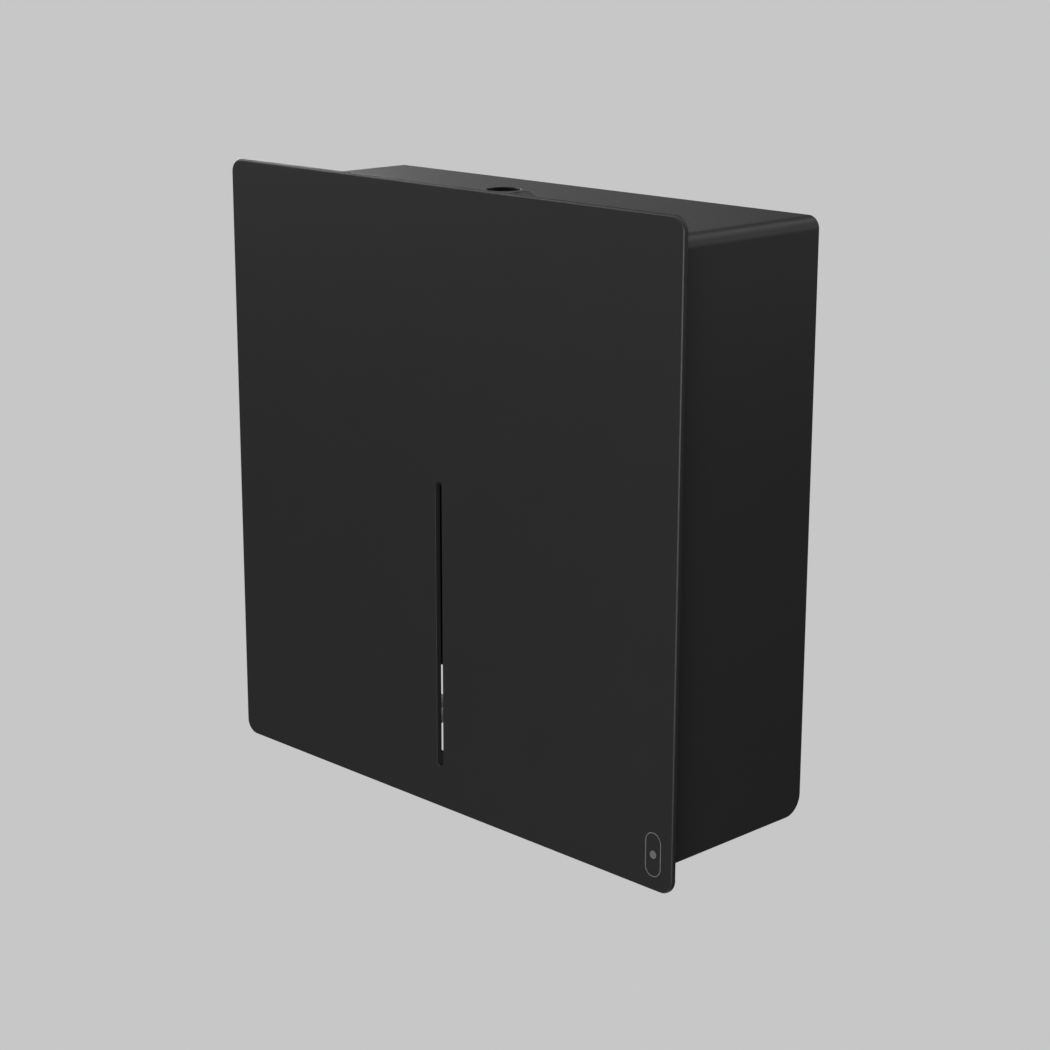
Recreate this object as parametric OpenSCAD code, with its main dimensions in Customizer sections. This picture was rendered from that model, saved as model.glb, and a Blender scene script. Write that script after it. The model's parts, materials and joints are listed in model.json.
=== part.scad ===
// Wall mounted dispenser for one jumbo paper roll.
// A fixed chassis carries the roll hub and the paper outlet. A square front plate with a sight slot
// is bolted to a folded shell, and the two tip forward together as one cover.
// Origin: on the wall, at the centre of the four mounting holes. +Z is up and the front faces -Y.

/* [Front plate] */
// Side of the square front plate
plate_side = 320; // [300:1:340]
// Thickness of the front plate with its coating
plate_t = 3.2; // [2.5:0.1:4]
// Corner radius of the front plate
plate_r = 7.5; // [4:0.5:14]
// Length of the sight slot
slot_len = 150; // [100:5:160]
// Width of the sight slot
slot_w = 4.4; // [4:0.1:6]
// Height of the slot's lower end above the plate's lower edge
slot_foot = 22.4; // [20:0.2:40]

/* [Cover shell] */
// Distance from the wall to the outer face of the front plate
depth = 108; // [106:1:114]
// Gap between the shell's rear edge and the wall
wall_gap = 0.6; // [0.3:0.1:1]
// How far the front plate stands out past each side of the shell
side_margin = 10.8; // [8:0.1:12]
// How far the front plate stands up past the top of the shell
top_margin = 10.7; // [8:0.1:12]
// How far the front plate hangs down past the bottom of the shell
foot_margin = 9.8; // [8:0.1:12]
// Sheet thickness of every folded piece
sheet = 1.5; // [1.2:0.1:1.6]
// Outer radius of the bends between the top and the sides
bend_r = 6.2; // [4:0.2:8]
// Radius of the sides' lower rear corners, which are centred on the hinge
heel_r = 10.4; // [10:0.1:11]
// Width of the flanges behind the front plate
flange_w = 14; // [12:1:18]

/* [Hinge and stop] */
// Diameter of the hinge pins
hinge_d = 5; // [4:0.5:6]
// How far the cover tips forward, in degrees
open_angle = 80; // [60:1:82]
// Distance of the stop lugs and pins from the hinge axis
stop_reach = 20; // [18:1:22]

/* [Lock] */
// Diameter of the key hole in the top of the shell
key_hole_d = 17.5; // [16:0.5:20]
// Sideways place of the lock
lock_x = -26.6; // [-40:0.2:-24]
// Distance of the lock from the wall
lock_y = 37; // [34:0.5:40]
// Length of the cam from the lock's axis to its tip
cam_len = 24; // [20:1:26]

/* [Roll hub] */
// Outer diameter of the hub that the roll's core slides over
hub_d = 44; // [40:1:50]
// Diameter of the fixed post inside the hub
post_d = 16; // [14:1:20]
// Diameter of the backing disc behind the roll
disc_d = 120; // [100:5:140]

/* [Paper outlet] */
// Width of the outlet between the two tear blades
outlet_w = 146; // [120:2:160]
// Pitch of the tear blades' teeth
tooth_pitch = 4; // [3:0.5:5]
// Height of the tear blades' teeth
tooth_h = 2.4; // [1.5:0.1:3]

/* [Wall mounting] */
// Hole spacing across and up the wall plate
hole_spacing = 200; // [180:10:220]
// Diameter of the mounting holes
mount_hole_d = 6.5; // [5:0.5:8]

/* [Hidden] */
$fn = 64;
tiny = 0.01;

// Planes of the cover, from the wall forwards and from the plate's centre outwards
plate_front = -depth;
plate_back = -depth + plate_t;
shell_rear = -wall_gap;
shell_half = plate_side / 2 - side_margin;
shell_top = plate_side / 2 - top_margin;
shell_foot = -plate_side / 2 + foot_margin;
inner_half = shell_half - sheet;
inner_top = shell_top - sheet;
flange_back = plate_back + sheet;

// Hinge axis, along X
hinge_y = shell_rear - heel_r;
hinge_z = shell_foot + heel_r;

// Wall plate
cheek_gap = 2.2;
cheek_out = inner_half - cheek_gap;
cheek_in = cheek_out - sheet;
plate_low = -135;
plate_high = 142;
wall_side_gap = 3;
wall_r = 8;

// Cheeks: the web's sloping front edge as [y, z], the wall flange and the front tab
cheek_head = -60;
web_knee = [-18, cheek_head];
web_shoulder = [-42, -126];
cheek_foot = -134;
wall_flange_in = 118;
tab_in = 134;
tab_front = -95;
tab_low = -147.5;

// Outlet tray, its side flanges and the rivets in them
tray_top = shell_foot + sheet;
tray_front = -96;
tray_rear = -9;
tray_flange_h = 10;
tray_flange_front = -92;
tray_flange_rear = -40;
outlet_front = -91;
outlet_rear = -15;
small_rivet_d = 3;
small_head_d = 5.5;
TRAY_RIVET_Y = [-80, -50];
tray_rivet_z = tray_top + tray_flange_h / 2;

// Tear blades
blade_t = 0.8;
blade_w = 14;
BLADE_RIVET_Y = [-80, -26];
blade_rivet_x = outlet_w / 2 + 8;
blade_head_t = 0.9;

// Weld studs behind the front plate, as [x, z]
stud_x = inner_half - flange_w / 2 - 1;
stud_top = inner_top - flange_w / 2 - 1;
FLANGE_STUDS = [
    for (z = [-110, -20, 75], s = [-1, 1]) [s * stud_x, z],
    for (x = [-80, 80]) [x, stud_top]
];
stiff_low = -149;
stiff_high = -131;
STIFF_STUDS = [for (s = [-1, 1], x = [30, 105]) [s * x, -140]];
STUDS = concat(FLANGE_STUDS, STIFF_STUDS);

// Rivet places on the wall plate, as [x, z]
CHEEK_RIVETS = [for (s = [-1, 1], z = [-124, -72]) [s * 131, z]];
KEEPER_RIVETS = [[-3, 118], [21, 118]];
post_rivet_r = 19;
POST_RIVETS = [for (a = [90, 210, 330]) [post_rivet_r * cos(a), post_rivet_r * sin(a)]];
rivet_d = 4;
rivet_head_d = 6.8;
rivet_head_t = 1.1;

// Closing bumpers, which meet the cheeks' front tabs
bumper_x = 139.5;
bumper_z = -141;
bumper_gap = 0.6;
bumper_d = 8;
bumper_stem_d = 3;

// Keeper
keeper_left = -12;
keeper_right = 30;
keeper_top = 138;
keeper_lip = -45;
keeper_lip_low = 126;
keeper_foot = 108;

// Lock: the housing with its two ears, the plug, and the cam under it
housing_low = 133;
housing_d = 24;
well_floor = 139;
ear_half = 22;
ear_w = 14;
ear_t = 3;
ear_stud = 16.5;
lock_stud_d = 3;
lock_stud_len = 6.5;
lock_nut_t = 2.4;
lock_nut_corners = 6.35;
lock_nut_rear = 5.4;
shaft_d = 10;
head_t = 2.4;
socket_d = 7;
socket_floor = 0.4;
square_end = 7;
lock_washer_d = 16;
lock_washer_t = 0.8;
washer_play = 0.1;
cam_top = 132;
cam_t = 2;
cam_w = 8;
cam_boss_d = 15;
cam_screw_d = 3;
cam_screw_len = 4.5;
cam_head_d = 10;
cam_head_t = 2.2;
cam_slot = [6, 1, 0.8];

// Post, disc and felt, from the wall forwards
post_foot = -sheet;
post_flange_t = 2.5;
post_flange_d = 50;
disc_t = 1.5;
felt_t = 1.5;
felt_d = 54;

// Hub, its bushes and its cap
hub_play = 0.2;
hub_rear = post_foot - post_flange_t - disc_t - felt_t - hub_play;
hub_front = -84;
hub_flange_d = 60;
hub_flange_t = 3;
bush_wall = 2;
bush_len = 8;
counterbore = 4;
counterbore_r = 18;
cap_front = -92;
cap_chamfer = 3;
cap_step = 0.5;
cap_wall = 1.8;
spigot_wall = 2;

// End screw in the post, with its washer and its hexagon socket
post_front = hub_front - 0.5;
end_screw_d = 6;
end_screw_len = 16;
end_head_d = 12;
end_head_t = 3;
end_socket_af = 5;
end_socket_depth = 1.6;
end_washer_d = 26;
end_washer_t = 1.2;

// ---- Helpers -------------------------------------------------------------------------------

// A cylinder along Y from y0 to y1
module rod_y(x, z, y0, y1, d) {
    translate([x, max(y0, y1), z]) rotate([90, 0, 0]) cylinder(h = abs(y1 - y0), d = d);
}

// A cylinder along X from x0 to x1, on the axis at [y, z]
module rod_x(y, z, x0, x1, d) {
    translate([min(x0, x1), y, z]) rotate([0, 90, 0]) cylinder(h = abs(x1 - x0), d = d);
}

// A box between two corners
module span(low, high) {
    translate(low) cube(high - low);
}

// A rounded rectangle in the plane, made of true arcs
module round_rect(w, h, r) {
    square([w - 2 * r, h], center = true);
    square([w, h - 2 * r], center = true);
    for (x = [-1, 1], y = [-1, 1]) translate([x * (w / 2 - r), y * (h / 2 - r)]) circle(r);
}

// An upright slot shape with round ends
module capsule(w, h) {
    square([w, h - w], center = true);
    for (s = [-1, 1]) translate([0, s * (h - w) / 2]) circle(d = w);
}

// Stands a plane drawing of [x, z] points up and extrudes it from y0 back to y1
module plate_y(y0, y1) {
    translate([0, y1, 0]) rotate([90, 0, 0]) linear_extrude(y1 - y0) children();
}

// Stands a plane drawing of [y, z] points up and extrudes it from x0 to x1
module plate_x(x0, x1) {
    translate([x0, 0, 0]) rotate([90, 0, 90]) linear_extrude(x1 - x0) children();
}

// A body of revolution about Y: the drawing's x is the radius and its y the distance forward
module turned_y() {
    rotate([90, 0, 0]) rotate_extrude() children();
}

// The same child on the right and, mirrored, on the left
module both_sides() {
    children();
    mirror([1, 0, 0]) children();
}

// A closed rivet along Y: the shank fills its hole, and a low head stands on each side
module rivet_y(x, z, rear, front) {
    rod_y(x, z, rear, front, rivet_d);
    rod_y(x, z, front, front - rivet_head_t, rivet_head_d);
}

// ---- Chassis -------------------------------------------------------------------------------

module wall_plate() {
    w = 2 * (cheek_in - wall_side_gap);
    h = plate_high - plate_low;
    color("#1c1c1c") difference() {
        translate([0, 0, (plate_high + plate_low) / 2]) plate_y(-sheet, 0) round_rect(w, h, wall_r);
        for (x = [-1, 1], z = [-1, 1])
            rod_y(x * hole_spacing / 2, z * hole_spacing / 2, -sheet - 1, 1, mount_hole_d);
        for (p = concat(CHEEK_RIVETS, KEEPER_RIVETS, POST_RIVETS))
            rod_y(p[0], p[1], -sheet - 1, 1, rivet_d);
    }
}

// The right cheek: a flange on the wall plate, a web that carries the hinge, and a front tab
module cheek() {
    difference() {
        union() {
            plate_x(cheek_in, cheek_out) polygon([
                [-2 * sheet, tray_top], [tab_front, tray_top], [tab_front, cheek_foot],
                web_shoulder, web_knee, [-2 * sheet, cheek_head]
            ]);
            span([wall_flange_in, -2 * sheet, cheek_foot], [cheek_out, -sheet, cheek_head]);
            span([tab_in, tab_front, tab_low], [cheek_out, tab_front + sheet, cheek_foot]);
        }
        rod_x(hinge_y, hinge_z, cheek_in - 1, cheek_out + 1, bush_d);
        rod_x(stop_y(), stop_z(), cheek_in - 1, cheek_out + 1, stop_shank_d);
        for (y = TRAY_RIVET_Y) rod_x(y, tray_rivet_z, cheek_in - 1, cheek_out + 1, small_rivet_d);
        for (p = CHEEK_RIVETS) if (p[0] > 0) rod_y(p[0], p[1], -3 * sheet, 0, rivet_d);
    }
}

// The stop pins meet the lugs just past the working range
lug_w = 6;
lug_h = 10;
lug_gap = 0.5;
lug_lean = -6;
stop_d = 5;
stop_shank_d = 4;
stop_head_d = 6.5;
stop_head_t = 1.2;
stop_gap = 0.4;
stop_past = 0.6;
stop_lean = lug_lean + open_angle + stop_past + asin((lug_w + stop_d) / 2 / stop_reach);
function stop_y() = hinge_y - stop_reach * sin(stop_lean);
function stop_z() = hinge_z + stop_reach * cos(stop_lean);

module right_cheek() {
    color("#1c1c1c") cheek();
}

module left_cheek() {
    color("#1c1c1c") mirror([1, 0, 0]) cheek();
}

module cheek_rivets() {
    color("silver") for (p = CHEEK_RIVETS) rivet_y(p[0], p[1], 0, -2 * sheet);
}

module keeper_rivets() {
    color("silver") for (p = KEEPER_RIVETS) rivet_y(p[0], p[1], 0, -2 * sheet);
}

// The tray closes the bottom beside the outlet and is riveted between the cheeks
module outlet_tray() {
    color("#1c1c1c") difference() {
        union() {
            span([-cheek_in, tray_front, shell_foot], [cheek_in, tray_rear, tray_top]);
            for (s = [-1, 1]) {
                x = s > 0 ? cheek_in - sheet : -cheek_in;
                span([x, tray_flange_front, tray_top - tiny],
                    [x + sheet, tray_flange_rear, tray_top + tray_flange_h]);
            }
        }
        span([-outlet_w / 2, outlet_front, shell_foot - 1], [outlet_w / 2, outlet_rear, tray_top + 1]);
        for (y = TRAY_RIVET_Y) rod_x(y, tray_rivet_z, -cheek_in - 1, cheek_in + 1, small_rivet_d);
        for (s = [-1, 1], y = BLADE_RIVET_Y)
            translate([s * blade_rivet_x, y, shell_foot - 1]) cylinder(h = sheet + 2, d = small_rivet_d);
    }
}

module tray_rivets() {
    head_in = cheek_in - sheet - 1;
    color("silver") both_sides() for (y = TRAY_RIVET_Y) {
        rod_x(y, tray_rivet_z, cheek_in - sheet, cheek_out, small_rivet_d);
        rod_x(y, tray_rivet_z, head_in, cheek_in - sheet, small_head_d);
    }
}

// A steel strip on the tray whose teeth lean out over the outlet
module tear_blade() {
    edge = outlet_w / 2;
    teeth = floor((outlet_rear - outlet_front) / tooth_pitch);
    difference() {
        translate([0, 0, tray_top]) linear_extrude(blade_t) polygon(concat(
            [[edge + blade_w, outlet_front], [edge + blade_w, outlet_rear]],
            [for (i = [0 : 2 * teeth])
                [edge - (i % 2 == 0 ? 0 : tooth_h), outlet_rear - i * tooth_pitch / 2]],
            [[edge, outlet_front]]
        ));
        for (y = BLADE_RIVET_Y)
            translate([blade_rivet_x, y, tray_top - 1]) cylinder(h = blade_t + 2, d = small_rivet_d);
    }
}

module tear_blade_right() {
    color("lightgray") tear_blade();
}

module tear_blade_left() {
    color("lightgray") mirror([1, 0, 0]) tear_blade();
}

module blade_rivets() {
    color("silver") both_sides() for (y = BLADE_RIVET_Y) translate([blade_rivet_x, y, shell_foot]) {
        cylinder(h = sheet + blade_t, d = small_rivet_d);
        translate([0, 0, sheet + blade_t]) cylinder(h = blade_head_t, d = small_head_d);
    }
}

// Flanged plastic bushes in the cheeks
bush_d = hinge_d + 3;
bush_flange_d = hinge_d + 6;
bush_flange_t = 0.8;
bush_in = cheek_in - 1.4;
running = 0.05;
module hinge_bushes() {
    color("ivory") both_sides() difference() {
        union() {
            rod_x(hinge_y, hinge_z, bush_in, cheek_out, bush_d);
            rod_x(hinge_y, hinge_z, cheek_out, cheek_out + bush_flange_t, bush_flange_d);
        }
        rod_x(hinge_y, hinge_z, bush_in - 1, cheek_out + 2, hinge_d + 2 * running);
    }
}

module stop_pins() {
    color("silver") both_sides() {
        rod_x(stop_y(), stop_z(), cheek_in - stop_head_t, cheek_in, stop_head_d);
        rod_x(stop_y(), stop_z(), cheek_in, cheek_out, stop_shank_d);
        rod_x(stop_y(), stop_z(), cheek_out, inner_half - stop_gap, stop_d);
    }
}

// A hooked bracket at the top of the wall plate, behind whose lip the cam turns
module keeper() {
    color("silver") difference() {
        plate_x(keeper_left, keeper_right) polygon([
            [-sheet, keeper_foot], [-2 * sheet, keeper_foot], [-2 * sheet, keeper_top - sheet],
            [keeper_lip + sheet, keeper_top - sheet], [keeper_lip + sheet, keeper_lip_low],
            [keeper_lip, keeper_lip_low], [keeper_lip, keeper_top], [-sheet, keeper_top]
        ]);
        for (p = KEEPER_RIVETS) rod_y(p[0], p[1], -3 * sheet, 0, rivet_d);
    }
}

// The fixed post that the hub turns on, with a riveted foot flange
module roll_post() {
    color("silver") difference() {
        union() {
            rod_y(0, 0, post_foot, post_foot - post_flange_t, post_flange_d);
            rod_y(0, 0, post_foot - post_flange_t, post_front, post_d);
        }
        rod_y(0, 0, post_front - 1, post_front + end_screw_len + 4, end_screw_d);
        for (p = POST_RIVETS) rod_y(p[0], p[1], 0, post_foot - post_flange_t - 1, rivet_d);
    }
}

module post_rivets() {
    color("silver") for (p = POST_RIVETS)
        rod_y(p[0], p[1], 0, post_foot - post_flange_t, rivet_d);
}

module backing_disc() {
    rear = post_foot - post_flange_t;
    color("#202020") difference() {
        rod_y(0, 0, rear, rear - disc_t, disc_d);
        rod_y(0, 0, rear + 1, rear - disc_t - 1, post_d);
    }
}

module felt_brake_ring() {
    rear = post_foot - post_flange_t - disc_t;
    color("dimgray") difference() {
        rod_y(0, 0, rear, rear - felt_t, felt_d);
        rod_y(0, 0, rear + 1, rear - felt_t - 1, post_d + 1);
    }
}

module post_washer() {
    color("silver") difference() {
        rod_y(0, 0, post_front, post_front - end_washer_t, end_washer_d);
        rod_y(0, 0, post_front + 1, post_front - end_washer_t - 1, end_screw_d);
    }
}

module post_screw() {
    head = post_front - end_washer_t;
    socket = head - end_head_t + end_socket_depth;
    color("silver") difference() {
        union() {
            rod_y(0, 0, post_front + end_screw_len, head, end_screw_d);
            rod_y(0, 0, head, head - end_head_t, end_head_d);
        }
        translate([0, socket, 0]) rotate([90, 0, 0])
            cylinder(h = end_socket_depth + 1, d = end_socket_af / cos(30), $fn = 6);
    }
}

// ---- Hub body ------------------------------------------------------------------------------

module roll_hub() {
    bore = post_d / 2 + bush_wall;
    flange = hub_flange_d / 2;
    color("#262626") turned_y() polygon([
        [bore, -hub_rear], [flange, -hub_rear], [flange, -hub_rear + hub_flange_t],
        [hub_d / 2, -hub_rear + hub_flange_t], [hub_d / 2, -hub_front],
        [counterbore_r, -hub_front], [counterbore_r, -hub_front - counterbore],
        [bore, -hub_front - counterbore]
    ]);
}

module hub_bushes() {
    color("ivory") for (rear = [hub_rear, hub_front + counterbore + bush_len]) difference() {
        rod_y(0, 0, rear, rear - bush_len, post_d + 2 * bush_wall);
        rod_y(0, 0, rear + 1, rear - bush_len - 1, post_d + 2 * running);
    }
}

module hub_cap() {
    r = hub_d / 2 - cap_step;
    inside = counterbore_r - spigot_wall;
    color("#262626") turned_y() polygon([
        [inside, -hub_front - counterbore], [counterbore_r, -hub_front - counterbore],
        [counterbore_r, -hub_front], [r, -hub_front], [r, -cap_front - cap_chamfer],
        [r - cap_chamfer, -cap_front], [0, -cap_front], [0, -cap_front - cap_wall],
        [inside, -cap_front - cap_wall]
    ]);
}

// ---- Cover ---------------------------------------------------------------------------------

module front_plate() {
    slot_mid = -plate_side / 2 + slot_foot + slot_len / 2;
    color("#191919") plate_y(plate_front, plate_back) difference() {
        round_rect(plate_side, plate_side, plate_r);
        translate([0, slot_mid]) capsule(slot_w, slot_len);
    }
}

// The outline of the folded shell seen from the front, shrunk by an inset
module shell_outline(inset) {
    r = bend_r - inset;
    half = shell_half - inset;
    top = shell_top - inset;
    translate([-half, shell_foot - inset]) square([2 * half, top - r - shell_foot + inset]);
    translate([-half + r, shell_foot - inset]) square([2 * half - 2 * r, top - shell_foot + inset]);
    for (s = [-1, 1]) translate([s * (half - r), top - r]) circle(r);
}

// The triangular mark beside the key hole: a shallow pressed corner, as [x, y]
MARK = [[-13.5, -31.6], [-13.5, -58], [24.6, -58]];
mark_depth = 0.7;
module key_mark() {
    translate([0, 0, shell_top - mark_depth]) linear_extrude(mark_depth + 1) polygon(MARK);
}

// Clear lengths at the shell's corners where no flange stands, and the flanges' stud holes
flange_end = 16;
stud_d = 4;
stud_hole_d = 4.4;

module cover_shell() {
    color("#191919") difference() {
        union() {
            difference() {
                plate_y(plate_back, shell_rear) shell_outline(0);
                plate_y(plate_back - 1, shell_rear + 1) shell_outline(sheet);
            }
            for (s = [-1, 1]) {
                x = s > 0 ? inner_half - flange_w : -inner_half - tiny;
                span([x, plate_back, shell_foot],
                    [x + flange_w + tiny, flange_back, inner_top - flange_end]);
            }
            span([-inner_half + flange_end, plate_back, inner_top - flange_w],
                [inner_half - flange_end, flange_back, inner_top + tiny]);
        }
        both_sides() difference() {
            span([inner_half - 2, hinge_y, shell_foot - 1], [shell_half + 1, 1, hinge_z]);
            rod_x(hinge_y, hinge_z, inner_half - 3, shell_half + 2, 2 * heel_r);
        }
        translate([lock_x, -lock_y, inner_top - 1]) cylinder(h = sheet + 2, d = key_hole_d);
        key_mark();
        for (p = FLANGE_STUDS) rod_y(p[0], p[1], plate_back - 1, flange_back + 1, stud_hole_d);
        for (s = [-1, 1])
            rod_y(s * bumper_x, bumper_z, plate_back - 1, flange_back + 1, bumper_stem_d);
    }
}

stud_len = 8;
module weld_studs() {
    color("silver") for (p = STUDS) rod_y(p[0], p[1], plate_back, plate_back + stud_len, stud_d);
}

washer_t = 0.8;
washer_d = 9;
module flange_washers() {
    color("silver") for (p = STUDS) difference() {
        rod_y(p[0], p[1], flange_back, flange_back + washer_t, washer_d);
        rod_y(p[0], p[1], flange_back - 1, flange_back + 2, stud_d);
    }
}

nut_t = 3.2;
nut_corners = 8.08;
module flange_nuts() {
    rear = flange_back + washer_t + nut_t;
    color("silver") for (p = STUDS) difference() {
        translate([p[0], rear, p[1]]) rotate([90, 0, 0])
            cylinder(h = nut_t, d = nut_corners, $fn = 6);
        rod_y(p[0], p[1], flange_back, rear + 1, stud_d);
    }
}

// An angle that stiffens the free lower edge of the front plate
lip_w = 5;
module lower_stiffener() {
    half = inner_half - flange_w - 2;
    color("#191919") difference() {
        union() {
            span([-half, plate_back, stiff_low], [half, flange_back, stiff_high]);
            span([-half, flange_back - tiny, stiff_low],
                [half, flange_back + lip_w, stiff_low + sheet]);
        }
        for (p = STIFF_STUDS) rod_y(p[0], p[1], plate_back - 1, flange_back + 1, stud_hole_d);
    }
}

// Studs welded inside the shell's sides, each with a groove for its clip
pin_in = bush_in - 3;
pin_base_d = 9;
pin_base_t = 0.5;
groove_d = hinge_d - 1;
clip_t = 0.8;
clip_d = 10;
clip_mouth = 3.2;
clip_out = bush_in - 0.2;
module hinge_pins() {
    color("silver") both_sides() difference() {
        union() {
            rod_x(hinge_y, hinge_z, inner_half - pin_base_t, inner_half, pin_base_d);
            rod_x(hinge_y, hinge_z, pin_in, inner_half - pin_base_t, hinge_d);
        }
        difference() {
            rod_x(hinge_y, hinge_z, clip_out - clip_t, clip_out, hinge_d + 2);
            rod_x(hinge_y, hinge_z, clip_out - clip_t - 1, clip_out + 1, groove_d);
        }
    }
}

hinge_washer_t = 0.7;
hinge_washer_d = 10;
module hinge_washers() {
    washer_in = cheek_out + bush_flange_t + 0.1;
    color("ivory") both_sides() difference() {
        rod_x(hinge_y, hinge_z, washer_in, washer_in + hinge_washer_t, hinge_washer_d);
        rod_x(hinge_y, hinge_z, washer_in - 1, washer_in + 2, hinge_d);
    }
}

module hinge_clips() {
    color("silver") both_sides() difference() {
        rod_x(hinge_y, hinge_z, clip_out - clip_t, clip_out, clip_d);
        rod_x(hinge_y, hinge_z, clip_out - clip_t - 1, clip_out + 1, groove_d);
        span([clip_out - clip_t - 1, hinge_y - clip_mouth / 2, hinge_z - clip_d],
            [clip_out + 1, hinge_y + clip_mouth / 2, hinge_z]);
    }
}

// Blocks welded inside the shell's sides, which meet the stop pins when the cover is open
module stop_lugs() {
    lug_t = inner_half - cheek_out - lug_gap;
    color("#191919") both_sides() translate([cheek_out + lug_gap, hinge_y, hinge_z])
        rotate([lug_lean, 0, 0])
        translate([0, -lug_w / 2, stop_reach - lug_h / 2]) cube([lug_t, lug_w, lug_h]);
}

// Rubber buttons in the shell's flanges, which meet the cheeks' front tabs when it closes
module closing_bumpers() {
    color("#101010") for (s = [-1, 1]) {
        rod_y(s * bumper_x, bumper_z, plate_back, flange_back, bumper_stem_d);
        rod_y(s * bumper_x, bumper_z, flange_back, tab_front - bumper_gap, bumper_d);
    }
}

// The lock's body under the top of the shell, with the key well and two ears
module lock_housing() {
    color("#0e0e0e") translate([lock_x, -lock_y, 0]) difference() {
        union() {
            translate([0, 0, housing_low]) cylinder(h = inner_top - housing_low, d = housing_d);
            span([-ear_w / 2, -ear_half, inner_top - ear_t], [ear_w / 2, ear_half, inner_top]);
        }
        translate([0, 0, well_floor]) cylinder(h = 20, d = key_hole_d);
        translate([0, 0, housing_low - 1]) cylinder(h = 20, d = shaft_d + 2 * running);
        for (s = [-1, 1])
            translate([0, s * ear_stud, inner_top - ear_t - 1]) cylinder(h = ear_t + 2, d = lock_stud_d);
    }
}

module lock_studs() {
    color("silver") for (s = [-1, 1])
        translate([lock_x, -lock_y + s * ear_stud, inner_top - lock_stud_len])
            cylinder(h = lock_stud_len, d = lock_stud_d);
}

module lock_nuts() {
    color("silver") for (s = [-1, 1])
        translate([lock_x, -lock_y + s * ear_stud, inner_top - lock_nut_rear]) difference() {
            cylinder(h = lock_nut_t, d = lock_nut_corners, $fn = 6);
            translate([0, 0, -1]) cylinder(h = lock_nut_t + 2, d = lock_stud_d);
        }
}

// A plain printed capsule outline with a dot, at the plate's lower right corner
print_t = 0.15;
print_w = 10;
print_h = 22.4;
print_line = 0.7;
print_dot_d = 4;
PRINT_MID = [148, -141.8];
module emblem() {
    color("#8c8c8c") plate_y(plate_front - print_t, plate_front) translate(PRINT_MID) {
        difference() {
            capsule(print_w, print_h);
            capsule(print_w - 2 * print_line, print_h - 2 * print_line);
        }
        circle(d = print_dot_d);
    }
}

// ---- Lock body -----------------------------------------------------------------------------

// The turning plug: a head in the key well, a shaft through the floor and a square end
module lock_plug() {
    head_low = well_floor + washer_play;
    shaft_low = cam_top + lock_washer_t + washer_play;
    color("#3a3a3a") translate([lock_x, -lock_y, 0]) difference() {
        union() {
            translate([0, 0, head_low]) cylinder(h = head_t, d = key_hole_d - 1);
            translate([0, 0, shaft_low]) cylinder(h = head_low - shaft_low, d = shaft_d);
            translate([-square_end / 2, -square_end / 2, cam_top - cam_t])
                cube([square_end, square_end, shaft_low - cam_top + cam_t]);
        }
        translate([0, 0, head_low + socket_floor]) cylinder(h = head_t + 1, d = socket_d, $fn = 3);
        translate([0, 0, cam_top - cam_t - 1]) cylinder(h = cam_screw_len + 1.5, d = cam_screw_d);
    }
}

module lock_washer() {
    color("silver") translate([lock_x, -lock_y, cam_top]) difference() {
        cylinder(h = lock_washer_t, d = lock_washer_d);
        translate([-square_end / 2, -square_end / 2, -1])
            cube([square_end, square_end, lock_washer_t + 2]);
    }
}

// The cam points to the wall when unlocked and turns to the right, behind the keeper's lip
module lock_cam() {
    color("silver") translate([lock_x, -lock_y, cam_top - cam_t]) difference() {
        union() {
            cylinder(h = cam_t, d = cam_boss_d);
            translate([-cam_w / 2, 0, 0]) cube([cam_w, cam_len - cam_w / 2, cam_t]);
            translate([0, cam_len - cam_w / 2, 0]) cylinder(h = cam_t, d = cam_w);
        }
        translate([-square_end / 2, -square_end / 2, -1])
            cube([square_end, square_end, cam_t + 2]);
    }
}

module cam_screw() {
    low = cam_top - cam_t;
    color("silver") translate([lock_x, -lock_y, 0]) difference() {
        union() {
            translate([0, 0, low - cam_head_t]) cylinder(h = cam_head_t, d = cam_head_d);
            translate([0, 0, low]) cylinder(h = cam_screw_len, d = cam_screw_d);
        }
        for (a = [0, 90]) rotate([0, 0, a])
            translate([-cam_slot[0] / 2, -cam_slot[1] / 2, low - cam_head_t - 1])
                cube([cam_slot[0], cam_slot[1], cam_slot[2] + 1]);
    }
}

wall_plate();
left_cheek();
right_cheek();
cheek_rivets();
outlet_tray();
tray_rivets();
tear_blade_left();
tear_blade_right();
blade_rivets();
hinge_bushes();
stop_pins();
keeper();
keeper_rivets();
roll_post();
post_rivets();
backing_disc();
felt_brake_ring();
post_washer();
post_screw();
roll_hub();
hub_bushes();
hub_cap();
front_plate();
cover_shell();
weld_studs();
flange_washers();
flange_nuts();
lower_stiffener();
hinge_pins();
hinge_washers();
hinge_clips();
stop_lugs();
closing_bumpers();
lock_housing();
lock_studs();
lock_nuts();
emblem();
lock_plug();
lock_washer();
lock_cam();
cam_screw();
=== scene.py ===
"""Looks of a wall mounted dispenser for one jumbo paper roll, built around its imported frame.

Lengths are metres, in the frame's own axes: the wall is the plane y = 0, the front faces -y and z is up.
"""
import json
import math

import bmesh
import bpy
from mathutils import Matrix, Quaternion, Vector
from mathutils.geometry import tessellate_polygon


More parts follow.
